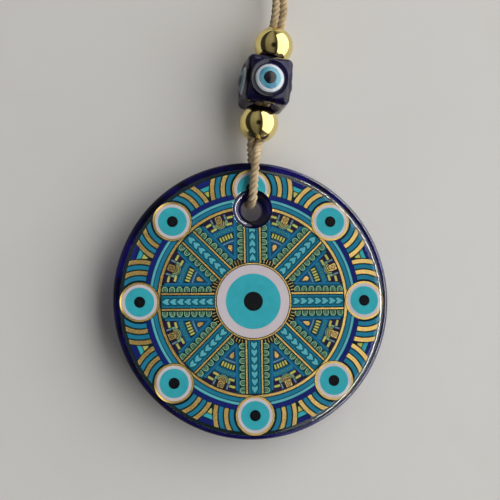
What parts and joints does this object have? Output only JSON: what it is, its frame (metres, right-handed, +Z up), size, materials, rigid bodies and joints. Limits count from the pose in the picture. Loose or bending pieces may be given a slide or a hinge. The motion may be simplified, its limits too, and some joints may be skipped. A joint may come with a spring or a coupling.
{
  "type": "evil eye ornament",
  "caption": "Round cobalt glass evil eye ornament with a printed mandala face, hung on doubled jute twine through gold beads and a glass eye cube.",
  "frame": {"origin": "the hanging point: inside the cord's loop, just under the end knot, midway between the disc's front and back cord legs", "axes": "+Z up as it hangs, -Y out of the printed face, +X to the right seen from the front"},
  "size_m": [0.09, 0.0182, 0.1968],
  "materials": {
    "cobalt_glass": "gloss",
    "printed_film": "printed",
    "clear_resin": "clear gloss",
    "gold_metal": "polished",
    "jute_twine": "fibrous",
    "white_glass": "gloss",
    "blue_glass": "gloss",
    "black_glass": "gloss"
  },
  "bodies": {
    "cord": {"hanging_cord": "jute_twine", "end_knot": "jute_twine", "cord_tail_left": "jute_twine", "cord_tail_right": "jute_twine"},
    "disc": {"glass_disc": "cobalt_glass", "printed_film": "printed_film", "resin_coat": "clear_resin"},
    "lower_bead": {"lower_gold_bead": "gold_metal"},
    "cube": {"glass_cube": "cobalt_glass", "front_eye_white": "white_glass", "front_eye_blue": "blue_glass", "front_eye_pupil": "black_glass", "right_eye_white": "white_glass", "right_eye_blue": "blue_glass", "right_eye_pupil": "black_glass", "back_eye_white": "white_glass", "back_eye_blue": "blue_glass", "back_eye_pupil": "black_glass", "left_eye_white": "white_glass", "left_eye_blue": "blue_glass", "left_eye_pupil": "black_glass"},
    "upper_bead": {"upper_gold_bead": "gold_metal"}
  },
  "joints": [
    {"name": "disc_swing", "type": "hinge", "parent": "cord", "child": "disc", "pos_m": [-0.00987, 0, -0.09853], "axis": [0, 1, 0], "range_deg": [-25, 25]},
    {"name": "beads_slide", "type": "slide", "parent": "cord", "child": "lower_bead", "axis": [0.1891, 0, 0.982], "range_m": [0, 0.006]},
    {"name": "cube_turn", "type": "hinge", "parent": "lower_bead", "child": "cube", "pos_m": [-0.00742, 0, -0.06933], "axis": [0.1891, 0, 0.982], "continuous": true},
    {"name": "upper_bead_turn", "type": "hinge", "parent": "lower_bead", "child": "upper_bead", "pos_m": [-0.00235, 0, -0.043], "axis": [0.1891, 0, 0.982], "continuous": true}
  ]
}
